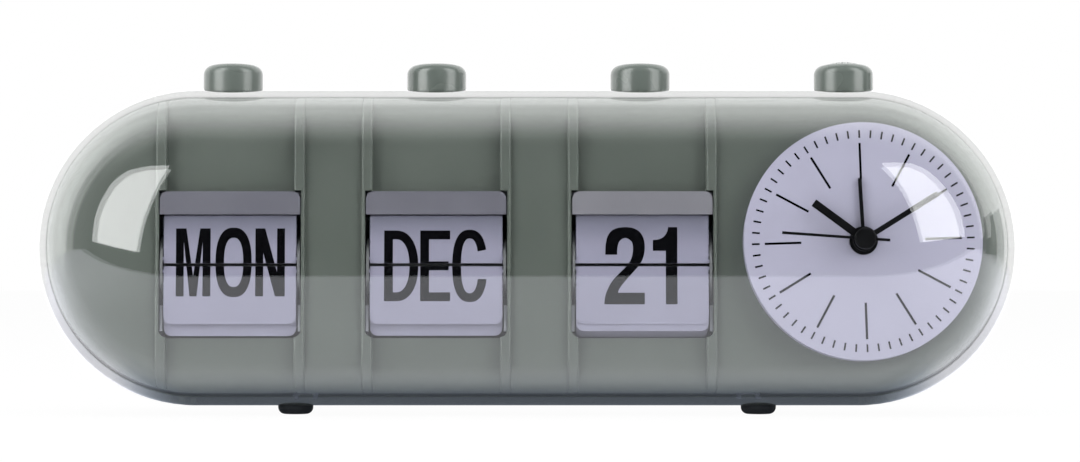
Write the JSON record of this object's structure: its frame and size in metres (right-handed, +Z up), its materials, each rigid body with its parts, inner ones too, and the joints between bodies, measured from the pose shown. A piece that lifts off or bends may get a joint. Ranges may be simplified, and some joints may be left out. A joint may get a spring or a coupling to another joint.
{
  "type": "desk clock with flip calendar",
  "caption": "Capsule-shaped desk clock with a clear front, flip cards for weekday, month and date on push buttons, and a round analogue dial with an alarm hand.",
  "frame": {"origin": "on the table, under the middle of the capsule's axis", "axes": "+X to the right seen from the front, +Y towards the back, +Z up"},
  "size_m": [0.255, 0.0824, 0.0925],
  "materials": {
    "clear_cover": "clear, polished",
    "case_plastic": "satin gloss",
    "fascia_plastic": "satin gloss",
    "button_plastic": "satin gloss",
    "frame_plastic": "satin",
    "drum_plastic": "satin",
    "card_plastic": "matte",
    "drive_plastic": "satin",
    "dial_plate": "satin",
    "hand_paint": "matt black",
    "arbor_metal": "turned",
    "movement_plastic": "satin",
    "winding": "enamelled wire",
    "board": "lacquered",
    "sounder": "matt",
    "steel": "bright",
    "cell_jacket": "gloss",
    "foot_rubber": "matt",
    "control_plastic": "satin"
  },
  "bodies": {
    "case": {"front_cover": "clear_cover", "rear_shell": "case_plastic", "fascia": "fascia_plastic", "battery": "cell_jacket", "battery_contacts": "steel", "feet": "foot_rubber", "case_screws": "steel", "dial": "dial_plate", "movement_case": "movement_plastic", "movement_lid": "movement_plastic", "movement_coil": "winding", "circuit_board": "board", "buzzer": "sounder", "alarm_spring": "steel", "day_frame": "frame_plastic", "day_spring": "steel", "month_frame": "frame_plastic", "month_spring": "steel", "date_frame": "frame_plastic", "date_spring": "steel"},
    "day_button": {"day_button": "button_plastic"},
    "day_drum": {"day_drum": "drum_plastic", "day_ratchet": "drive_plastic", "day_card_pack": "card_plastic"},
    "day_lever": {"day_lever": "drive_plastic"},
    "day_upper_card": {"day_upper_card": "card_plastic"},
    "day_next_card": {"day_next_card": "card_plastic"},
    "day_lower_card": {"day_lower_card": "card_plastic"},
    "month_button": {"month_button": "button_plastic"},
    "month_drum": {"month_drum": "drum_plastic", "month_ratchet": "drive_plastic", "month_card_pack": "card_plastic"},
    "month_lever": {"month_lever": "drive_plastic"},
    "month_upper_card": {"month_upper_card": "card_plastic"},
    "month_next_card": {"month_next_card": "card_plastic"},
    "month_lower_card": {"month_lower_card": "card_plastic"},
    "date_button": {"date_button": "button_plastic"},
    "date_drum": {"date_drum": "drum_plastic", "date_ratchet": "drive_plastic", "date_card_pack": "card_plastic"},
    "date_lever": {"date_lever": "drive_plastic"},
    "date_upper_card": {"date_upper_card": "card_plastic"},
    "date_next_card": {"date_next_card": "card_plastic"},
    "date_lower_card": {"date_lower_card": "card_plastic"},
    "alarm_button": {"alarm_button": "button_plastic"},
    "minute_hand": {"minute_hand": "hand_paint", "minute_wheel": "arbor_metal"},
    "hour_hand": {"hour_hand": "hand_paint", "hour_wheel": "arbor_metal"},
    "time_set_knob": {"time_set_knob": "control_plastic"},
    "second_hand": {"second_hand": "hand_paint"},
    "alarm_hand": {"alarm_hand": "hand_paint", "alarm_wheel": "arbor_metal"},
    "alarm_set_knob": {"alarm_set_knob": "control_plastic"},
    "alarm_switch": {"alarm_switch": "control_plastic"},
    "battery_door": {"battery_door": "case_plastic"}
  },
  "joints": [
    {"name": "day_button_press", "type": "slide", "parent": "case", "child": "day_button", "axis": [0, -0.0872, -0.9962], "range_m": [0, 0.0025], "stiffness_N_per_m": 400, "springref_m": -0.001, "deforming": ["day_spring"]},
    {"name": "day_drum_turn", "type": "hinge", "parent": "case", "child": "day_drum", "pos_m": [-0.0765, -0.00775, 0.03841], "axis": [1, 0, 0], "range_deg": [0, 25.72]},
    {"name": "day_lever_tilt", "type": "hinge", "parent": "case", "child": "day_lever", "pos_m": [-0.0765, 0.00164, 0.03758], "axis": [1, 0, 0], "range_deg": [-19.08, 0]},
    {"name": "day_upper_card_fall", "type": "hinge", "parent": "day_drum", "child": "day_upper_card", "pos_m": [-0.0765, -0.01481, 0.04068], "axis": [1, 0, 0], "range_deg": [0, 154.3]},
    {"name": "day_next_card_hang", "type": "hinge", "parent": "day_drum", "child": "day_next_card", "pos_m": [-0.0765, -0.01312, 0.04352], "axis": [1, 0, 0], "range_deg": [-25.72, 0]},
    {"name": "day_lower_card_hang", "type": "hinge", "parent": "day_drum", "child": "day_lower_card", "pos_m": [-0.0765, -0.01509, 0.03739], "axis": [1, 0, 0], "range_deg": [-25.72, 0]},
    {"name": "month_button_press", "type": "slide", "parent": "case", "child": "month_button", "axis": [0, -0.0872, -0.9962], "range_m": [0, 0.0025], "stiffness_N_per_m": 400, "springref_m": -0.001, "deforming": ["month_spring"]},
    {"name": "month_drum_turn", "type": "hinge", "parent": "case", "child": "month_drum", "pos_m": [-0.0234, -0.00882, 0.0385], "axis": [1, 0, 0], "range_deg": [0, 30.01]},
    {"name": "month_lever_tilt", "type": "hinge", "parent": "case", "child": "month_lever", "pos_m": [-0.0234, -0.00019, 0.03774], "axis": [1, 0, 0], "range_deg": [-15.35, 0]},
    {"name": "month_upper_card_fall", "type": "hinge", "parent": "month_drum", "child": "month_upper_card", "pos_m": [-0.0234, -0.01481, 0.04068], "axis": [1, 0, 0], "range_deg": [0, 150.01]},
    {"name": "month_next_card_hang", "type": "hinge", "parent": "month_drum", "child": "month_next_card", "pos_m": [-0.0234, -0.01291, 0.04338], "axis": [1, 0, 0], "range_deg": [-30.01, 0]},
    {"name": "month_lower_card_hang", "type": "hinge", "parent": "month_drum", "child": "month_lower_card", "pos_m": [-0.0234, -0.01509, 0.03739], "axis": [1, 0, 0], "range_deg": [-30.01, 0]},
    {"name": "date_button_press", "type": "slide", "parent": "case", "child": "date_button", "axis": [0, -0.0872, -0.9962], "range_m": [0, 0.0025], "stiffness_N_per_m": 400, "springref_m": -0.001, "deforming": ["date_spring"]},
    {"name": "date_drum_turn", "type": "hinge", "parent": "case", "child": "date_drum", "pos_m": [0.0297, -0.00613, 0.03826], "axis": [1, 0, 0], "range_deg": [0, 11.62]},
    {"name": "date_lever_tilt", "type": "hinge", "parent": "case", "child": "date_lever", "pos_m": [0.0297, 0.00253, 0.03751], "axis": [1, 0, 0], "range_deg": [-21.6, 0]},
    {"name": "date_upper_card_fall", "type": "hinge", "parent": "date_drum", "child": "date_upper_card", "pos_m": [0.0297, -0.01487, 0.03993], "axis": [1, 0, 0], "range_deg": [0, 168.4]},
    {"name": "date_next_card_hang", "type": "hinge", "parent": "date_drum", "child": "date_next_card", "pos_m": [0.0297, -0.01436, 0.04166], "axis": [1, 0, 0], "range_deg": [-11.62, 0]},
    {"name": "date_lower_card_hang", "type": "hinge", "parent": "date_drum", "child": "date_lower_card", "pos_m": [0.0297, -0.01503, 0.03814], "axis": [1, 0, 0], "range_deg": [-11.62, 0]},
    {"name": "alarm_button_press", "type": "slide", "parent": "case", "child": "alarm_button", "axis": [0, -0.0872, -0.9962], "range_m": [0, 0.0025], "stiffness_N_per_m": 400, "springref_m": -0.001, "deforming": ["alarm_spring"]},
    {"name": "minute_turn", "type": "hinge", "parent": "case", "child": "minute_hand", "pos_m": [0.08625, -0.01893, 0.04521], "axis": [0, 0.9962, -0.0872], "continuous": true},
    {"name": "hour_turn", "type": "hinge", "parent": "case", "child": "hour_hand", "pos_m": [0.08625, -0.01893, 0.04521], "axis": [0, 0.9962, -0.0872], "continuous": true},
    {"name": "time_knob_turn", "type": "hinge", "parent": "case", "child": "time_set_knob", "pos_m": [0.07725, 0.02982, 0.04596], "axis": [0, 0.9962, -0.0872], "continuous": true},
    {"name": "second_turn", "type": "hinge", "parent": "case", "child": "second_hand", "pos_m": [0.08625, -0.01893, 0.04521], "axis": [0, 0.9962, -0.0872], "continuous": true},
    {"name": "alarm_turn", "type": "hinge", "parent": "case", "child": "alarm_hand", "pos_m": [0.08625, -0.01893, 0.04521], "axis": [0, 0.9962, -0.0872], "continuous": true},
    {"name": "alarm_knob_turn", "type": "hinge", "parent": "case", "child": "alarm_set_knob", "pos_m": [0.09525, 0.02982, 0.04596], "axis": [0, 0.9962, -0.0872], "continuous": true},
    {"name": "alarm_switch_slide", "type": "slide", "parent": "case", "child": "alarm_switch", "axis": [1, 0, 0], "range_m": [0, 0.004]},
    {"name": "battery_door_lift", "type": "slide", "parent": "case", "child": "battery_door", "axis": [0, 0.9962, -0.0872], "range_m": [0, 0.012]}
  ],
  "couplings": [
    {"joint": "day_drum_turn", "follows": "day_button_press", "rad_per_m": 179.52},
    {"joint": "day_lever_tilt", "follows": "day_button_press", "rad_per_m": -133.13},
    {"joint": "day_upper_card_fall", "follows": "day_button_press", "rad_per_m": 1077.1},
    {"joint": "day_next_card_hang", "follows": "day_button_press", "rad_per_m": -179.52},
    {"joint": "day_lower_card_hang", "follows": "day_button_press", "rad_per_m": -179.52},
    {"joint": "month_drum_turn", "follows": "month_button_press", "rad_per_m": 209.44},
    {"joint": "month_lever_tilt", "follows": "month_button_press", "rad_per_m": -107.11},
    {"joint": "month_upper_card_fall", "follows": "month_button_press", "rad_per_m": 1047.2},
    {"joint": "month_next_card_hang", "follows": "month_button_press", "rad_per_m": -209.44},
    {"joint": "month_lower_card_hang", "follows": "month_button_press", "rad_per_m": -209.44},
    {"joint": "date_drum_turn", "follows": "date_button_press", "rad_per_m": 81.073},
    {"joint": "date_lever_tilt", "follows": "date_button_press", "rad_per_m": -150.75},
    {"joint": "date_upper_card_fall", "follows": "date_button_press", "rad_per_m": 1175.6},
    {"joint": "date_next_card_hang", "follows": "date_button_press", "rad_per_m": -81.073},
    {"joint": "date_lower_card_hang", "follows": "date_button_press", "rad_per_m": -81.073},
    {"joint": "hour_turn", "follows": "minute_turn", "ratio": 0.083333},
    {"joint": "time_knob_turn", "follows": "minute_turn", "ratio": -1},
    {"joint": "alarm_knob_turn", "follows": "alarm_turn", "ratio": -1}
  ]
}
